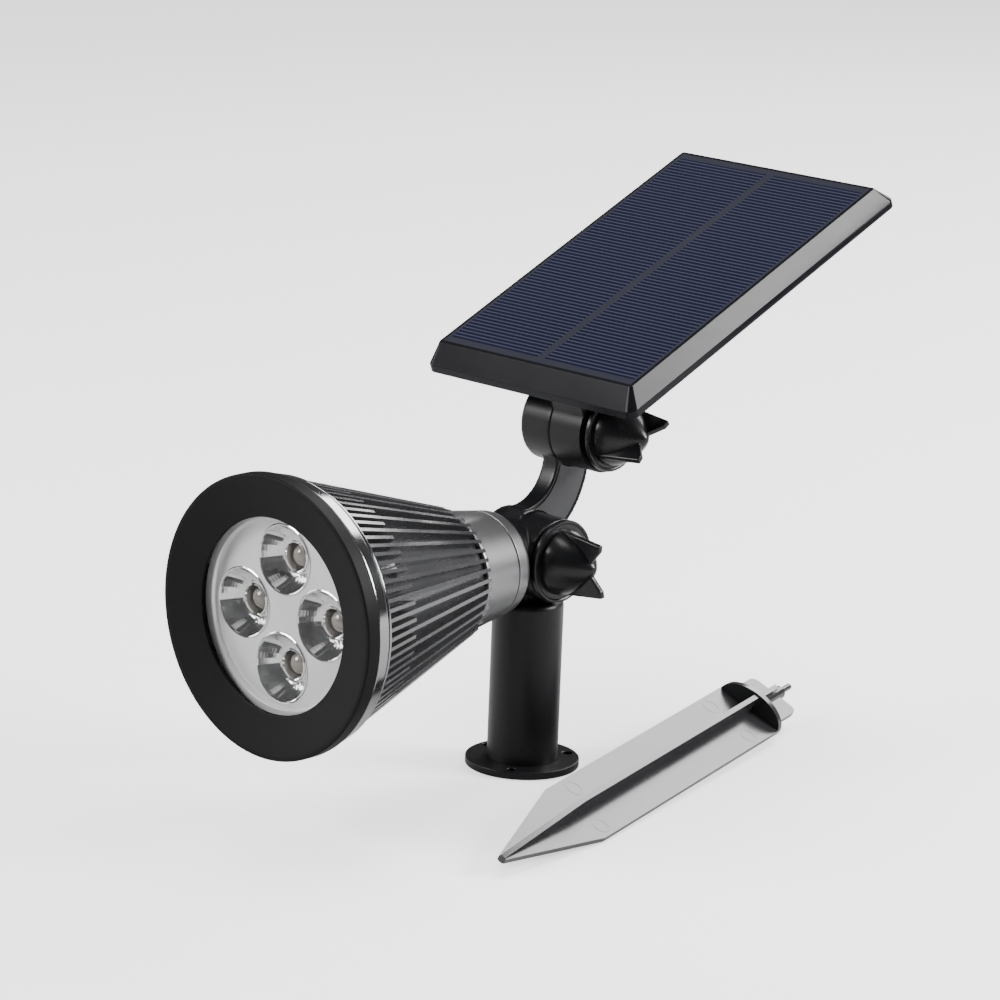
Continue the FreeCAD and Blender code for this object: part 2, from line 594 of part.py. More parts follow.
def bracket_screws():
    bottom, plate = size("panelBottom"), size("footPlate")
    screws = [rod_n(2.3, x, y, bottom - plate - 1.2, bottom - plate).fuse(
        rod_n(1.1, x, y, bottom - plate, bottom + size("coverPlate") + 0.6)) for x, y in knuckle_screw_spots()]
    keep_shape(Part.makeCompound(screws), "bracket_screws", panel_place())


def power_button():
    bottom, radius, y = size("panelBottom"), size("buttonRadius"), size("buttonY")
    lip = bottom + size("coverPlate") + 0.05
    cap = rod_n(radius, 0, y, bottom - size("buttonProud"), lip + 0.6)
    low_edge = [e for e in cap.Edges if e.Curve.TypeId == "Part::GeomCircle" and e.BoundBox.ZMax < bottom]
    cap = cap.makeFillet(0.7, low_edge).fuse(rod_n(radius + 1, 0, y, lip, lip + 0.6)).removeSplitter()
    keep_shape(cap, "power_button", panel_place())
    boot = rod_n(radius + 3, 0, y, bottom - 0.9, bottom).cut(rod_n(radius + 0.4, 0, y, bottom - 2, bottom + 1))
    keep_shape(boot, "button_boot", panel_place())
    low = lip + 0.6 + size("buttonTravel") + 0.1
    high = size("panelTop") - size("glassThick") - size("shellWall")
    switch = Part.makeBox(12, 12, high - low, FreeCAD.Vector(-6, y - 6, low))
    keep_shape(switch, "switch_block", panel_place())


# ---- ground stake ----

def ground_stake():
    """Cross-shaped spike with a stop plate and the finned end that plugs into the post."""
    wall, shoulder, stop = size("stakeWall"), size("pointLength"), size("stakePlate")

    def blade(half, root):
        outline = [(-root, 0), (root, 0), (half, shoulder), (half, stop), (-half, stop), (-half, shoulder)]
        wire = Part.makePolygon([FreeCAD.Vector(x, y, -wall / 2) for x, y in outline + outline[:1]])
        return Part.Face(wire).extrude(FreeCAD.Vector(0, 0, wall))

    wide = blade(size("bladeHalf"), 1.3)
    ridge = blade(size("ridgeHalf"), 1.2)
    ridge.rotate(FreeCAD.Vector(), FreeCAD.Vector(0, 1, 0), 90)
    oval = Part.Ellipse(FreeCAD.Vector(), size("bladeHalf"), size("plateHalf")).toShape()
    plate = Part.Face(Part.Wire(oval)).extrude(FreeCAD.Vector(0, 0, size("plateHeight")))
    plate.rotate(FreeCAD.Vector(), FreeCAD.Vector(1, 0, 0), -90)
    plate.translate(FreeCAD.Vector(0, stop, 0))
    top, reach = size("topHalf"), size("topLengthStake")
    begin = stop + size("plateHeight")
    tab = Part.makeBox(2 * top, reach, wall, FreeCAD.Vector(-top, begin, -wall / 2))
    tab = tab.makeFillet(3.0, [e for e in tab.Edges
                               if abs(e.tangentAt(e.FirstParameter).z) > 0.9 and e.CenterOfMass.y > begin + 1])
    low = size("ridgeHalf") - 1.2
    rib = Part.makeBox(wall, reach * 0.8, 2 * low, FreeCAD.Vector(-wall / 2, begin, -low))
    along = FreeCAD.Vector(0, 1, 0)
    hub = Part.makeCylinder(2.4, reach + 4, FreeCAD.Vector(0, begin, 0), along)
    pin = Part.makeCylinder(size("pinRadius"), reach + size("pinLength"), FreeCAD.Vector(0, begin, 0), along)
    shape = wide.fuse([ridge, plate, tab, rib, hub, pin]).removeSplitter()
    roll = FreeCAD.Rotation(FreeCAD.Vector(0, 1, 0), size("stakeRoll"))
    heading = FreeCAD.Rotation(FreeCAD.Vector(0, 0, 1), size("stakeTurn"))
    rise = FreeCAD.Rotation(FreeCAD.Vector(1, 0, 0), size("stakePitch"))
    place = FreeCAD.Placement(FreeCAD.Vector(), heading.multiply(rise).multiply(roll))
    lowest = shape.copy()
    lowest.Placement = place
    place.Base = FreeCAD.Vector(size("stakeX"), size("stakeY"), -lowest.optimalBoundingBox().ZMin + 0.02)
    keep_shape(shape, "ground_stake", place)


base_flange()
post_tube()
post_tongue()
tongue_screws()
pivot_body()
arm_cover()
clamp_bolt(rod, "-$barrelLeft", "$barrelRight + $washerThick + $insertLength - 0.5", "lower_bolt")
clamp_washer(rod, "$barrelRight", "9", "$washerThick", "lower_washer")
clamp_knob(rod, "$barrelRight + $washerThick + 0.1", "$knobRim", 7.0, ("0", "$pivotHeight"), "lower_knob")
knob_insert(rod, "$barrelRight + $washerThick + 0.1", "lower_knob_insert")
clamp_bolt(upper_rod, "-$hingeLeft", "$hingeRight + 1.5 + $insertLength - 0.5", "upper_bolt")
clamp_washer(upper_rod, "$hingeRight", "10.5", "1.5", "upper_washer")
clamp_knob(upper_rod, "$hingeRight + 1.6", "$upperRim", -52.0, ("$hingeY", "$hingeZ"), "upper_knob")
knob_insert(upper_rod, "$hingeRight + 1.6", "upper_knob_insert")
neck_collar()
heat_sink()
rim_ring()
bezel()
lens_and_seal()
reflector()
reflector_screws()
led_board()
led_emitters()
battery_and_boards()
panel_housing()
solar_panel()
panel_cover()
cover_screws()
panel_bracket()
bracket_screws()
power_button()
ground_stake()

doc.recompute()
faults = [item.Name for item in doc.Objects if {"Invalid", "Error"} & set(item.State)]
if faults:
    raise RuntimeError("not computed: " + ", ".join(faults))
os.makedirs("parts", exist_ok=True)
for item in parts:
    shape = item.Shape
    if shape.isNull() or not shape.isValid() or shape.Volume <= 0:
        raise RuntimeError("bad shape: " + item.Label)
    shape.exportStep("parts/" + item.Label + ".step")
    box = shape.optimalBoundingBox()
    print(f"{item.Label:20s} solids {len(shape.Solids):2d}  volume {shape.Volume:9.1f}  "
          f"x {box.XMin:6.1f} {box.XMax:6.1f}  y {box.YMin:6.1f} {box.YMax:6.1f}  z {box.ZMin:6.1f} {box.ZMax:6.1f}")
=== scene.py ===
import bpy
import json
import math
from mathutils import Matrix, Vector

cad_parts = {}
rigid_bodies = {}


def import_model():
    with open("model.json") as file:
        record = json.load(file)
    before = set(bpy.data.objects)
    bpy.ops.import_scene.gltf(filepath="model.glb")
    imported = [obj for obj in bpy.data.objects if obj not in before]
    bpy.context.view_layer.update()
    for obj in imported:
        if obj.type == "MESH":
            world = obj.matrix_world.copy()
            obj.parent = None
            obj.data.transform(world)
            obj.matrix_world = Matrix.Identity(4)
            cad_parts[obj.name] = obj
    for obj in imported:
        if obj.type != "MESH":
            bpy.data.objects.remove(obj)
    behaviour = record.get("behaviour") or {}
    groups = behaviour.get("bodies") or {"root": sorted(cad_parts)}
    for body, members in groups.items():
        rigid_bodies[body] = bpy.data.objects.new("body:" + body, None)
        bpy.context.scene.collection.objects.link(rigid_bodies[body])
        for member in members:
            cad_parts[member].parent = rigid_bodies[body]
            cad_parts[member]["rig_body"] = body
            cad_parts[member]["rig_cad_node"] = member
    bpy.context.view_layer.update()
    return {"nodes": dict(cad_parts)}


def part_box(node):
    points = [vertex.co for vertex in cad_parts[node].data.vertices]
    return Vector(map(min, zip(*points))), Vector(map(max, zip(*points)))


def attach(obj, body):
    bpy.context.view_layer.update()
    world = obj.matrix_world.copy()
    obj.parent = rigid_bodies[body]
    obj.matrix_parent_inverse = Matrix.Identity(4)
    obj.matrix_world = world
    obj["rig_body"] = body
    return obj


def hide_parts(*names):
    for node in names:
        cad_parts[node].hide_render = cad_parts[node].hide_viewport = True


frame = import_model()
nodes = frame["nodes"]
print("stage: frame loaded")

mm = 0.001
lowerAxis = Vector((0, 0, 73.5)) * mm
upperAxis = Vector((0, 21, 114.8)) * mm
panelTilt = math.radians(23)


# picking, editing and finishing a piece

def pickOnly(item):
    bpy.ops.object.select_all(action="DESELECT")
    item.select_set(True)
    bpy.context.view_layer.objects.active = item


def openMesh(item):
    pickOnly(item)
    bpy.ops.object.mode_set(mode="EDIT")


def closeMesh():
    bpy.ops.object.mode_set(mode="OBJECT")


def applyAll(item):
    pickOnly(item)
    for modifier in list(item.modifiers):
        bpy.ops.object.modifier_apply(modifier=modifier.name)


def smoothBy(item, degrees):
    pickOnly(item)
    bpy.ops.object.shade_smooth_by_angle(angle=math.radians(degrees))


def copyOf(node, name):
    # a CAD node's shape as one joined skin, free to be finished
    pickOnly(nodes[node])
    bpy.ops.object.duplicate()
    item = bpy.context.active_object
    item.name = name
    item.data.name = name
    item.parent = None
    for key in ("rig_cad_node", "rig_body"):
        if key in item:
            del item[key]
    openMesh(item)
    bpy.ops.mesh.select_all(action="SELECT")
    bpy.ops.mesh.remove_doubles(threshold=0.000004)
    closeMesh()
    return item


def finishPiece(item, body, look, stands=()):
    item.data.materials.clear()
    item.data.materials.append(look)
    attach(item, body)
    if stands:
        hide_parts(*stands)
    return item


def rounded(node, name, body, look, width=0.3, segments=2, limit=32):
    # the same shape with its sharp edges broken, as a moulding has them
    item = copyOf(node, name)
    openMesh(item)
    bpy.ops.mesh.select_all(action="SELECT")
    bpy.ops.mesh.dissolve_limited(angle_limit=math.radians(0.6))
    closeMesh()
    bevel = item.modifiers.new("edges", "BEVEL")
    bevel.width = width * mm
    bevel.segments = segments
    bevel.limit_method = "ANGLE"
    bevel.angle_limit = math.radians(limit)
    applyAll(item)
    smoothBy(item, 40)
    evenOut = item.modifiers.new("evenOut", "WEIGHTED_NORMAL")   # flat faces stay flat by a rounded edge
    evenOut.keep_sharp = True
    applyAll(item)
    return finishPiece(item, body, look, (node,))


def turned(name, outline, centre=lowerAxis, along=Vector((0, -1, 0)), steps=128, closed=True):
    # a profile of (distance along the axis, radius) pairs in mm, spun round the axis
    side = along.orthogonal().normalized()
    mesh = bpy.data.meshes.new(name)
    points = [centre + along * (a * mm) + side * (r * mm) for a, r in outline]
    edges = [(i, i + 1) for i in range(len(points) - 1)]
    if closed:
        edges.append((len(points) - 1, 0))
    mesh.from_pydata([tuple(p) for p in points], edges, [])
    item = bpy.data.objects.new(name, mesh)
    bpy.context.scene.collection.objects.link(item)
    openMesh(item)
    bpy.ops.mesh.select_all(action="SELECT")
    bpy.ops.mesh.spin(steps=steps, angle=2 * math.pi, center=centre, axis=along)
    bpy.ops.mesh.select_all(action="SELECT")
    bpy.ops.mesh.remove_doubles(threshold=0.000005)
    bpy.ops.mesh.normals_make_consistent(inside=False)
    closeMesh()
    smoothBy(item, 38)
    return item


def softCorners(outline, radius, steps=4):
    # rounds the corners of a closed profile, with one radius for each corner
    bend = {"least": 0.02, "share": 0.45, "room": 2.5, "support": 1.2}
    result = []
    count = len(outline)
    for i, corner in enumerate(outline):
        here = Vector(corner)
        before = Vector(outline[i - 1]) - here
        after = Vector(outline[(i + 1) % count]) - here
        cut = min(radius[i], before.length * bend["share"], after.length * bend["share"])
        if cut < bend["least"]:
            result.append(tuple(here))
            continue
        first = here + before.normalized() * cut
        last = here + after.normalized() * cut
        if before.length > cut * bend["room"]:      # a support edge keeps the flat beside it flat
            result.append(tuple(here + before.normalized() * (cut * bend["support"])))
        for k in range(steps + 1):
            t = k / steps
            point = first * (1 - t) ** 2 + here * 2 * t * (1 - t) + last * t ** 2
            result.append(tuple(point))
        if after.length > cut * bend["room"]:
            result.append(tuple(here + after.normalized() * (cut * bend["support"])))
    return result


# shader maths and materials

class Wire:
    # one output socket, with arithmetic
    def __init__(self, tree, socket):
        self.tree = tree
        self.socket = socket

    def make(self, kind, settings=None, values=None, output=0):
        node = self.tree.nodes.new(kind)
        for key, value in (settings or {}).items():
            setattr(node, key, value)
        for key, value in (values or {}).items():
            if isinstance(value, Wire):
                self.tree.links.new(value.socket, node.inputs[key])
            else:
                node.inputs[key].default_value = value
        return Wire(self.tree, node.outputs[output])

    def sum(self, operation, first, second=0.0):
        return self.make("ShaderNodeMath", {"operation": operation}, {0: first, 1: second})

    def __add__(self, other):
        return self.sum("ADD", self, other)

    def __sub__(self, other):
        return self.sum("SUBTRACT", self, other)

    def __mul__(self, other):
        return self.sum("MULTIPLY", self, other)

    def __truediv__(self, other):
        return self.sum("DIVIDE", self, other)

    def __lt__(self, other):
        return self.sum("LESS_THAN", self, other)

    def __gt__(self, other):
        return self.sum("GREATER_THAN", self, other)

    __radd__ = __add__
    __rmul__ = __mul__

    def __rsub__(self, other):
        return self.sum("SUBTRACT", other, self)

    def __rtruediv__(self, other):
        return self.sum("DIVIDE", other, self)

    def size(self):
        return self.sum("ABSOLUTE", self)

    def cycle(self, length):
        # position within a repeat, from 0 to 1
        return self.sum("FRACT", self / length)

    def blend(self, low, high):
        # this wire from 0 to 1 mixes two colours
        mix = self.tree.nodes.new("ShaderNodeMix")
        mix.data_type = "RGBA"
        self.tree.links.new(self.socket, mix.inputs[0])
        for index, colour in ((6, low), (7, high)):
            if isinstance(colour, Wire):
                self.tree.links.new(colour.socket, mix.inputs[index])
            else:
                mix.inputs[index].default_value = (*colour, 1.0)
        return Wire(self.tree, mix.outputs[2])


class Look:
    # a material under construction
    def __init__(self, name, **fixed):
        self.material = bpy.data.materials.new(name)
        self.material.use_nodes = True
        self.tree = self.material.node_tree
        self.shader = self.tree.nodes["Principled BSDF"]
        coordinates = self.tree.nodes.new("ShaderNodeTexCoord")
        self.place = Wire(self.tree, coordinates.outputs["Object"])
        for key, value in fixed.items():
            socket = self.shader.inputs[key.replace("_", " ")]
            socket.default_value = (*value, 1.0) if key.endswith("Color") else value

    def noise(self, scale, detail=3.0, place=None, stretch=None):
        place = place or self.place
        if stretch:
            place = place.make("ShaderNodeMapping", {}, {"Vector": place, "Scale": stretch})
        return place.make("ShaderNodeTexNoise", {}, {"Vector": place, "Scale": scale, "Detail": detail})

    def feed(self, socket, wire):
        self.tree.links.new(wire.socket, self.shader.inputs[socket])

    def relief(self, height, distance):
        values = {"Height": height, "Distance": distance, "Strength": 1.0}
        bump = self.place.make("ShaderNodeBump", {}, values)
        self.feed("Normal", bump)


def moulded(name, colour, roughness, grain=0.00002, grainScale=2600.0, sheen=0.06, coat=0.0, metal=0.0,
            shine=0.5):
    # plastic with fine grain, faint handling marks and slight changes of tone
    look = Look(name, Metallic=metal)
    look.shader.inputs["Coat Weight"].default_value = coat
    look.shader.inputs["Coat Roughness"].default_value = 0.12
    look.shader.inputs["Specular IOR Level"].default_value = shine
    broad = look.noise(34.0, 4.0)
    fine = look.noise(grainScale, 2.0)
    scuffs = look.noise(160.0, 5.0, stretch=(1.0, 0.35, 1.6))
    darker = tuple(c * 0.86 for c in colour)
    lighter = tuple(min(1.0, c * 1.14) for c in colour)
    look.feed("Base Color", broad.blend(darker, lighter))
    look.feed("Roughness", broad * sheen + scuffs * sheen + (roughness - sheen))
    look.relief(fine + scuffs * 0.3, grain)
    return look


def nodeLook(node, look):
    for slot in nodes[node].material_slots:
        slot.material = look.material


satinBlack = moulded("satinBlack", (0.006, 0.006, 0.007), 0.34, shine=0.27)
postBlack = moulded("postBlack", (0.006, 0.006, 0.007), 0.36, shine=0.25)
knobBlack = moulded("knobBlack", (0.007, 0.007, 0.008), 0.28, shine=0.36)
bezelBlack = moulded("bezelBlack", (0.005, 0.005, 0.005), 0.50, grain=0.00003, shine=0.10)
gunmetal = moulded("gunmetal", (0.13, 0.13, 0.135), 0.27, coat=0.3, metal=0.75)
collarGrey = moulded("collarGrey", (0.25, 0.25, 0.255), 0.34, coat=0.1, metal=0.9)
ringGrey = moulded("ringGrey", (0.30, 0.30, 0.305), 0.11, coat=0.5, metal=1.0)
panelBlack = moulded("panelBlack", (0.007, 0.007, 0.009), 0.22, grain=0.000005, shine=0.14)
stakeBlack = moulded("stakeBlack", (0.022, 0.022, 0.024), 0.24, coat=0.25)
coverBlack = moulded("coverBlack", (0.010, 0.010, 0.011), 0.42, shine=0.3)
rubberBlack = moulded("rubberBlack", (0.012, 0.012, 0.012), 0.62, grain=0.00005, shine=0.3)
armGrey = moulded("armGrey", (0.036, 0.036, 0.040), 0.38, shine=0.4)
zinc = moulded("zinc", (0.52, 0.52, 0.54), 0.30, metal=1.0)
brass = moulded("brass", (0.66, 0.47, 0.20), 0.28, metal=1.0)
boardWhite = moulded("boardWhite", (0.78, 0.78, 0.75), 0.35)
boardGreen = moulded("boardGreen", (0.03, 0.22, 0.09), 0.35)
cellWrap = moulded("cellWrap", (0.05, 0.22, 0.50), 0.28)
silver = moulded("silver", (0.94, 0.94, 0.94), 0.12, grain=0.000004, metal=1.0, sheen=0.03)
plateSilver = moulded("plateSilver", (0.84, 0.84, 0.85), 0.30, grain=0.000004, metal=0.25, sheen=0.05)

lensLook = Look("lensLook", Base_Color=(0.01, 0.01, 0.012), Roughness=0.02, IOR=1.46)
lensLook.shader.inputs["Coat Weight"].default_value = 0.6
lensLook.shader.inputs["Alpha"].default_value = 0.10
lensLook.feed("Roughness", lensLook.noise(60.0) * 0.03)
lensLook.relief(lensLook.noise(90.0), 0.000004)

domeLook = Look("domeLook", Base_Color=(0.30, 0.26, 0.20), Roughness=0.06)
domeLook.shader.inputs["Coat Weight"].default_value = 1.0
domeLook.feed("Base Color", domeLook.noise(300.0).blend((0.20, 0.18, 0.155), (0.34, 0.31, 0.27)))
domeLook.relief(domeLook.noise(700.0), 0.00003)


def solarLook():
    # two columns of cells with fine finger lines across, under glass
    form = {"gapHalf": 1.6, "columnEdge": 40.8, "sideEdge": 62.4, "fingerStep": 1.8, "fingerWidth": 0.36,
            "middle": 54.2}
    look = Look("solarLook", Roughness=0.14)
    look.shader.inputs["Coat Weight"].default_value = 0.3
    look.shader.inputs["Coat Roughness"].default_value = 0.05
    values = {"Vector": look.place, "Location": tuple(upperAxis), "Rotation": (panelTilt, 0, 0)}
    local = look.place.make("ShaderNodeMapping", {"vector_type": "TEXTURE"}, values)
    parts = local.tree.nodes.new("ShaderNodeSeparateXYZ")
    local.tree.links.new(local.socket, parts.inputs[0])
    across = Wire(look.tree, parts.outputs[0]) * 1000.0
    along = Wire(look.tree, parts.outputs[1]) * 1000.0 - form["middle"]
    inWidth = (across.size() > form["gapHalf"]) * (across.size() < form["columnEdge"])
    inColumn = inWidth * (along.size() < form["sideEdge"])
    finger = ((along + 200.0).cycle(form["fingerStep"]) < form["fingerWidth"]) * inColumn
    cloud = look.noise(45.0, 4.0, place=local)
    cell = cloud.blend((0.0036, 0.0040, 0.0150), (0.0056, 0.0062, 0.0220))
    plain = cloud.blend((0.020, 0.021, 0.030), (0.026, 0.027, 0.038))
    base = inColumn.blend(plain, cell)
    look.feed("Base Color", finger.blend(base, (0.036, 0.039, 0.062)))
    look.feed("Roughness", cloud * 0.05 + 0.10)
    look.relief(look.noise(220.0, 2.0, place=local), 0.000004)
    return look


solarFace = solarLook()
for node, look in (("lower_bolt", zinc), ("upper_bolt", zinc), ("lower_washer", zinc),
                   ("tongue_screws", zinc),
                   ("cover_screws", zinc), ("bracket_screws", zinc), ("reflector_screws", zinc),
                   ("lower_knob_insert", brass), ("upper_knob_insert", brass), ("led_board", boardWhite),
                   ("control_board", boardGreen), ("battery_cell", cellWrap), ("battery_sleeve", satinBlack),
                   ("lens_seal", rubberBlack), ("button_boot", rubberBlack), ("switch_block", satinBlack),
                   ("solar_panel", solarFace), ("led_emitters", domeLook)):
    nodeLook(node, look)
print("stage: materials made")


# post and flange

rounded("base_flange", "flangePlate", "post", postBlack.material, 0.5, 3)
rounded("post_tongue", "postTongue", "post", satinBlack.material, 0.5, 3)
rounded("post_tube", "postTube", "post", postBlack.material, 0.25, 2)
print("stage: post made")


# pivot body, as one smooth moulding

def meltedPivot():
    form = {"voxel": 0.45, "passes": 10, "factor": 0.5}
    item = copyOf("pivot_body", "pivotMoulding")
    remesh = item.modifiers.new("skin", "REMESH")
    remesh.mode = "VOXEL"
    remesh.voxel_size = form["voxel"] * mm
    soften = item.modifiers.new("soften", "SMOOTH")
    soften.factor = form["factor"]
    soften.iterations = form["passes"]
    applyAll(item)
    pickOnly(item)
    bpy.ops.object.shade_smooth()
    return finishPiece(item, "head", satinBlack.material, ("pivot_body",))


meltedPivot()
rounded("arm_cover", "armCover", "head", armGrey.material, 0.25, 2)
rounded("upper_washer", "hingeWasher", "panel", rubberBlack.material, 0.3, 2)
print("stage: pivot made")


# lamp head

collar = {"start": 18.4, "end": 43.0, "small": 17.4, "large": 21.2, "bore": 13.0, "hollow": 15.6,
          "spigot": 30.0, "groove": 24.6, "grooveWidth": 0.7, "grooveDepth": 0.5}


def collarRadius(a):
    share = (a - collar["start"]) / (collar["end"] - collar["start"])
    return collar["small"] + (collar["large"] - collar["small"]) * share


grooveEnd = collar["groove"] + collar["grooveWidth"]
collarOutline = [(collar["start"], collar["bore"]), (collar["start"], collar["small"]),
                 (collar["groove"], collarRadius(collar["groove"])),
                 (collar["groove"], collarRadius(collar["groove"]) - collar["grooveDepth"]),
                 (grooveEnd, collarRadius(grooveEnd) - collar["grooveDepth"]),
                 (grooveEnd, collarRadius(grooveEnd)),
                 (collar["end"], collar["large"]), (collar["end"], collar["hollow"]),
                 (collar["spigot"], collar["hollow"]), (collar["spigot"], collar["bore"])]
collarCorners = [0.2, 2.6, 0.25, 0.1, 0.1, 0.25, 0.9, 0.2, 0.2, 0.2]
neckCollar = turned("neckCollar", softCorners(collarOutline, collarCorners))
finishPiece(neckCollar, "head", collarGrey.material, ("neck_collar",))

rounded("heat_sink", "coolingFins", "head", gunmetal.material, 0.28, 2)

ring = {"start": 111.2, "end": 118.0, "small": 44.2, "large": 45.4, "bore": 40.0, "seam": 112.2,
        "seamWidth": 0.6, "seamDepth": 0.6, "before": 0.1, "after": 0.4}
seamEnd = ring["seam"] + ring["seamWidth"]
ringOutline = [(ring["start"], ring["bore"]), (ring["start"], ring["small"]),
               (ring["seam"], ring["small"] + ring["before"]),
               (ring["seam"], ring["small"] - ring["seamDepth"]),
               (seamEnd, ring["small"] - ring["seamDepth"]), (seamEnd, ring["small"] + ring["after"]),
               (ring["end"], ring["large"]), (ring["end"], ring["bore"])]
trimRing = turned("trimRing", softCorners(ringOutline, [0.2, 0.8, 0.3, 0.1, 0.1, 0.8, 0.9, 0.2]))
finishPiece(trimRing, "head", ringGrey.material, ("rim_ring",))

rim = {"front": 123.3, "back": 118.0, "outer": 46.0, "lip": 44.7, "opening": 31.7, "dish": 120.3,
       "face": 119.4, "seat": 36.0, "skirt": 39.6, "skirtBack": 115.8}
rimOutline = [(rim["skirtBack"], rim["seat"]), (rim["skirtBack"], rim["skirt"]), (rim["back"], rim["skirt"]),
              (rim["back"], rim["outer"]), (rim["front"], rim["outer"]), (rim["front"], rim["lip"]),
              (rim["dish"], rim["opening"]), (rim["face"], rim["opening"]), (rim["face"], rim["seat"])]
bezelRing = turned("bezelRing", softCorners(rimOutline, [0.2, 0.2, 0.2, 0.6, 1.1, 0.9, 0.7, 0.1, 0.1]))
finishPiece(bezelRing, "head", bezelBlack.material, ("bezel",))

glass = {"front": 119.35, "back": 117.45, "radius": 35.8}
clearLens = turned("clearLens", softCorners([(glass["back"], 0.0), (glass["back"], glass["radius"]),
                                             (glass["front"], glass["radius"]), (glass["front"], 0.0)],
                                            [0, 0.3, 0.3, 0]), closed=False)
finishPiece(clearLens, "head", lensLook.material, ("front_lens",))


# reflector: plate with four polished bowls

def reflectorCup(index):
    form = {"throat": 4.1, "start": 106.1, "lip": 110.6, "bowl": 108.4, "bowlRadius": 6.0, "rim": 10.8,
            "face": 115.0, "circle": 17.7, "wall": 0.45, "steps": 10, "facets": 30}
    angle = math.radians(90 * index)
    centre = lowerAxis + Vector((math.sin(angle), 0, math.cos(angle))) * (form["circle"] * mm)
    # straight throat, then the rounded lip that stands round the dome
    outline = [(form["start"], form["throat"]), (form["lip"] - 0.7, form["throat"] + 0.3),
               (form["lip"] - 0.15, form["throat"] + 0.55), (form["lip"], form["throat"] + 0.95),
               (form["lip"] - 0.15, form["throat"] + 1.35), (form["bowl"] - 0.1, form["throat"] + 1.65)]
    bowl = []
    for k in range(form["steps"] + 1):          # curved wall, throat to rim
        t = k / form["steps"]
        bowl.append((form["bowl"] + (form["face"] - form["bowl"]) * t ** 1.5,
                     form["bowlRadius"] + (form["rim"] - form["bowlRadius"]) * t))
    outline += bowl
    outline += [(form["face"] + 0.35, form["rim"] + 0.2), (form["face"] + 0.45, form["rim"] + 0.5),
                (form["face"] + 0.3, form["rim"] + 0.8), (form["face"] - 0.6, form["rim"] + 0.7)]
    outline += [(a - 0.2, r + form["wall"]) for a, r in reversed(bowl[:-1])]
    outline.append((form["start"], form["throat"] + form["wall"] + 1.2))
    cup = turned(f"reflectorCup{index}", outline, centre, steps=form["facets"])
    pickOnly(cup)
    bpy.ops.object.shade_flat()                 # polished facets, as the real bowls have
    return cup


plate = copyOf("reflector", "reflectorPlate")
pickOnly(plate)
bpy.ops.object.shade_flat()
finishPiece(plate, "head", plateSilver.material, ("reflector",))
border = {"back": 115.05, "front": 116.7, "inner": 30.4, "slope": 0.6, "outer": 35.6}
borderOutline = [(border["back"], border["inner"]), (border["front"], border["inner"] + border["slope"]),
                 (border["front"], border["outer"]), (border["back"], border["outer"])]
plateBorder = turned("plateBorder", softCorners(borderOutline, [0.05, 0.2, 0.2, 0.1]))
finishPiece(plateBorder, "head", plateSilver.material)   # raised edge over the screws
for index in range(4):
    finishPiece(reflectorCup(index), "head", silver.material)
print("stage: lamp head made")


# knobs

knob = {"disc": 1.7, "lip": 0.35, "lipWidth": 1.3, "nose": 11.2, "noseTip": 0.8, "length": 14.4, "swell": 1.7,
        "bore": 3.6, "boreDepth": 10.0, "bladeRoot": 11.4, "bladeEnd": 9.2, "ear": 2.8, "earWidth": 2.4,
        "earTip": 0.3, "valley": 1.4, "valleyHalf": 2.6, "crest": 0.9, "blade": 2.0, "bladeEdge": 0.4,
        "rimEdge": 0.25, "steps": 16, "pointPower": 12}


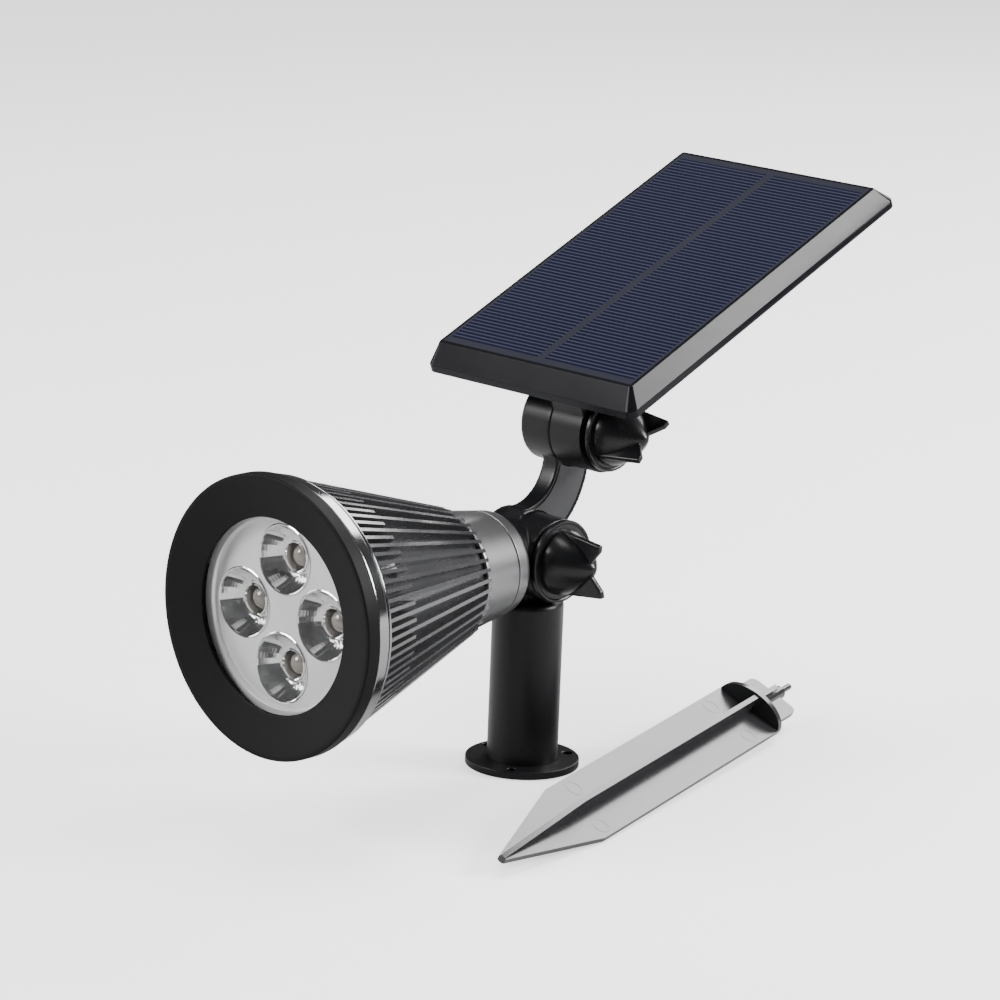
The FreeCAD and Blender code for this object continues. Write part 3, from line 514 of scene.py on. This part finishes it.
def clampKnob(name, start, rimRadius, centre, degrees):
    # rimmed disc and bullet nose, with a thin two-eared blade through it
    face = knob["disc"] - knob["lip"]
    outline = []
    for k in range(knob["steps"], -1, -1):          # nose, tip to root
        t = k / knob["steps"]
        bullet = knob["nose"] * (1 - t ** knob["swell"])
        point = knob["noseTip"] * t * (1 - t ** knob["pointPower"])
        outline.append((face + (knob["length"] + knob["lip"]) * t, bullet + point))
    outline += [(face, rimRadius - knob["lipWidth"]),
                (face + knob["lip"] * 0.8, rimRadius - knob["lipWidth"] * 0.8),
                (knob["disc"], rimRadius - knob["lipWidth"] * 0.5),
                (face + knob["lip"] * 0.7, rimRadius - 0.15), (face - 0.1, rimRadius),
                (knob["rimEdge"], rimRadius), (0.0, rimRadius - knob["rimEdge"]),
                (0.0, knob["bore"]), (knob["boreDepth"], knob["bore"]), (knob["boreDepth"], 0.0)]
    origin = Vector((start * mm, centre.y, centre.z))
    body = turned(name, outline, origin, Vector((1, 0, 0)), steps=96, closed=False)
    end = knob["disc"] + knob["length"]
    root, tip, ear = knob["bladeRoot"], knob["bladeEnd"], end + knob["ear"]
    earSide, earInner = ear - knob["earTip"], tip - knob["earWidth"]
    valley, valleyHalf = end - knob["valley"], knob["valleyHalf"]
    shape = [(knob["disc"], -root), (ear, -tip), (earSide, -earInner), (valley, -valleyHalf),
             (end - knob["crest"], 0), (valley, valleyHalf), (earSide, earInner), (ear, tip),
             (knob["disc"], root)]
    tilt = math.radians(degrees)
    across = Vector((0, -math.sin(tilt), math.cos(tilt)))
    thick = Vector((0, math.cos(tilt), math.sin(tilt))) * (knob["blade"] * mm)
    mesh = bpy.data.meshes.new(name + "Blade")
    corners = [origin + Vector((a * mm, 0, 0)) + across * (r * mm) - thick / 2 for a, r in shape]
    mesh.from_pydata([tuple(c) for c in corners], [], [tuple(range(len(corners)))])
    blade = bpy.data.objects.new(name + "Blade", mesh)
    bpy.context.scene.collection.objects.link(blade)
    openMesh(blade)
    bpy.ops.mesh.select_all(action="SELECT")
    bpy.ops.mesh.extrude_region_move(TRANSFORM_OT_translate={"value": tuple(thick)})
    bpy.ops.mesh.select_all(action="SELECT")
    bpy.ops.mesh.normals_make_consistent(inside=False)
    closeMesh()
    edges = blade.modifiers.new("edges", "BEVEL")
    edges.width = knob["bladeEdge"] * mm
    edges.segments = 3
    edges.limit_method = "ANGLE"
    applyAll(blade)
    pickOnly(body)
    blade.select_set(True)
    bpy.ops.object.join()
    smoothBy(body, 38)
    return body


lowerKnob = clampKnob("lowerKnob", 13.2, 14.0, lowerAxis, 7)
finishPiece(lowerKnob, "lower_clamp", knobBlack.material, ("lower_knob",))
upperKnob = clampKnob("upperKnob", 15.2, 13.4, upperAxis, -52)
finishPiece(upperKnob, "upper_clamp", knobBlack.material, ("upper_knob",))
print("stage: knobs made")


# panel

rounded("panel_housing", "panelHousing", "panel", panelBlack.material, 0.28, 3)
rounded("panel_cover", "panelCover", "panel", coverBlack.material, 0.25, 2)
rounded("panel_bracket", "panelBracket", "panel", satinBlack.material, 0.35, 3)
rounded("power_button", "powerButton", "button", rubberBlack.material, 0.2, 2)
print("stage: panel made")


# stake

rounded("ground_stake", "groundStake", "stake", stakeBlack.material, 0.55, 3)
stake = {"x": 74.0, "y": -90.0, "turn": 13.9, "pitch": 1.27, "roll": 28.0, "wall": 1.8}


def tipHeight():
    # height of the stake's foremost corner, at its tip
    tip = min((v.co for v in nodes["ground_stake"].data.vertices), key=lambda co: co.y)
    return tip.z


def ejectorMarks():
    # faint round marks that the mould leaves on the blades
    marks = {"radius": 3.2, "ring": 0.35, "proud": 0.2, "sunk": -0.05,
             "spots": ((8.2, 52.0), (-8.0, 60.0), (-8.0, 160.0), (8.2, 160.0))}
    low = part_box("ground_stake")[0].z + tipHeight()
    frameTurn = (Matrix.Rotation(math.radians(stake["turn"]), 4, "Z")
                 @ Matrix.Rotation(math.radians(stake["pitch"]), 4, "X")
                 @ Matrix.Rotation(math.radians(stake["roll"]), 4, "Y"))
    place = Matrix.Translation(Vector((stake["x"] * mm, stake["y"] * mm, low))) @ frameTurn
    upward = (place.to_3x3() @ Vector((0, 0, 1))).normalized()
    made = []
    for number, (aside, along) in enumerate(marks["spots"]):
        centre = place @ Vector((aside * mm, along * mm, stake["wall"] / 2 * mm))
        inner = marks["radius"] - marks["ring"]
        outline = [(marks["sunk"], marks["radius"]), (marks["proud"], marks["radius"]),
                   (marks["proud"], inner), (marks["sunk"], inner)]
        made.append(turned(f"mark{number}", outline, centre, upward, steps=40))
    pickOnly(made[0])
    for other in made[1:]:
        other.select_set(True)
    bpy.ops.object.join()
    made[0].name = "stakeMarks"
    return finishPiece(made[0], "stake", stakeBlack.material)


ejectorMarks()
print("stage: stake made")


# floor, light and camera

def floorAndLight():
    # the floor shows itself brighter to the camera than it lights the object
    studio = {"floorSize": 8, "floorDrop": 0.0002, "bounce": (0.55, 0.55, 0.555, 1), "glow": 1.1,
              "sky": (0.97, 0.98, 1.0, 1), "skyStrength": 0.10, "aimHeight": 0.09}
    bpy.ops.mesh.primitive_plane_add(size=studio["floorSize"], location=(0, 0, -studio["floorDrop"]))
    floor = bpy.context.active_object
    floor.name = "paleFloor"
    pale = Look("paleFloorLook", Roughness=0.6)
    pale.feed("Base Color", pale.noise(3.0).blend((0.88, 0.88, 0.885), (0.90, 0.90, 0.905)))
    dim = pale.tree.nodes.new("ShaderNodeBsdfDiffuse")
    dim.inputs["Color"].default_value = studio["bounce"]
    rays = pale.tree.nodes.new("ShaderNodeLightPath")
    mix = pale.tree.nodes.new("ShaderNodeMixShader")
    pale.tree.links.new(rays.outputs["Is Camera Ray"], mix.inputs[0])
    pale.tree.links.new(dim.outputs[0], mix.inputs[1])
    pale.tree.links.new(pale.shader.outputs[0], mix.inputs[2])
    pale.shader.inputs["Emission Color"].default_value = (1, 1, 1, 1)
    pale.shader.inputs["Emission Strength"].default_value = studio["glow"]
    pale.tree.links.new(mix.outputs[0], pale.tree.nodes["Material Output"].inputs["Surface"])
    floor.data.materials.append(pale.material)
    world = bpy.data.worlds.new("studioWorld")
    bpy.context.scene.world = world
    world.use_nodes = True
    background = world.node_tree.nodes["Background"]
    background.inputs[0].default_value = studio["sky"]
    background.inputs[1].default_value = studio["skyStrength"]
    boxes = [("keyBox", (-0.75, -1.3, 0.95), 0.7, 36.0), ("sideBox", (1.1, 0.95, 0.82), 0.6, 42.0),
             ("topBox", (0.1, 0.2, 1.6), 1.0, 24.0), ("backBox", (-0.3, 1.5, 1.1), 0.9, 22.0),
             ("frontCard", (-1.35, -0.75, 0.25), 0.4, 4.5)]
    for name, place, size, power in boxes:
        bpy.ops.object.light_add(type="AREA", location=place)
        lamp = bpy.context.active_object
        lamp.name = name
        lamp.data.size = size
        lamp.data.energy = power
        aim = Vector((0, 0, studio["aimHeight"])) - Vector(place)
        lamp.rotation_mode = "QUATERNION"
        lamp.rotation_quaternion = aim.to_track_quat("-Z", "Y")


def studioCamera():
    shot = {"turn": 41.94, "rise": 14.85, "lean": -2.29, "reach": 1450.6, "lens": 156.7,
            "aside": -10.3, "above": 11.3}
    turn, rise, lean = (math.radians(shot[key]) for key in ("turn", "rise", "lean"))
    back = Vector((math.sin(turn) * math.cos(rise), -math.cos(turn) * math.cos(rise), math.sin(rise)))
    right = Vector((math.cos(turn), math.sin(turn), 0))
    up = back.cross(right)
    cameraX = right * math.cos(lean) - up * math.sin(lean)
    cameraY = right * math.sin(lean) + up * math.cos(lean)
    target = Vector((0, 0, 80)) * mm
    eye = target + back * (shot["reach"] * mm)
    aim = target + cameraX * (shot["aside"] * mm) + cameraY * (shot["above"] * mm)
    zAxis = (eye - aim).normalized()
    xAxis = (cameraX - zAxis * cameraX.dot(zAxis)).normalized()
    yAxis = zAxis.cross(xAxis)
    bpy.ops.object.camera_add(location=eye)
    camera = bpy.context.active_object
    camera.rotation_mode = "QUATERNION"
    camera.rotation_quaternion = Matrix((xAxis, yAxis, zAxis)).transposed().to_quaternion()
    camera.data.lens = shot["lens"]
    camera.data.sensor_width = 36
    camera.data.clip_start = 0.1
    camera.data.clip_end = 20
    bpy.context.scene.camera = camera


floorAndLight()
studioCamera()
print("stage: floor, light and camera set")
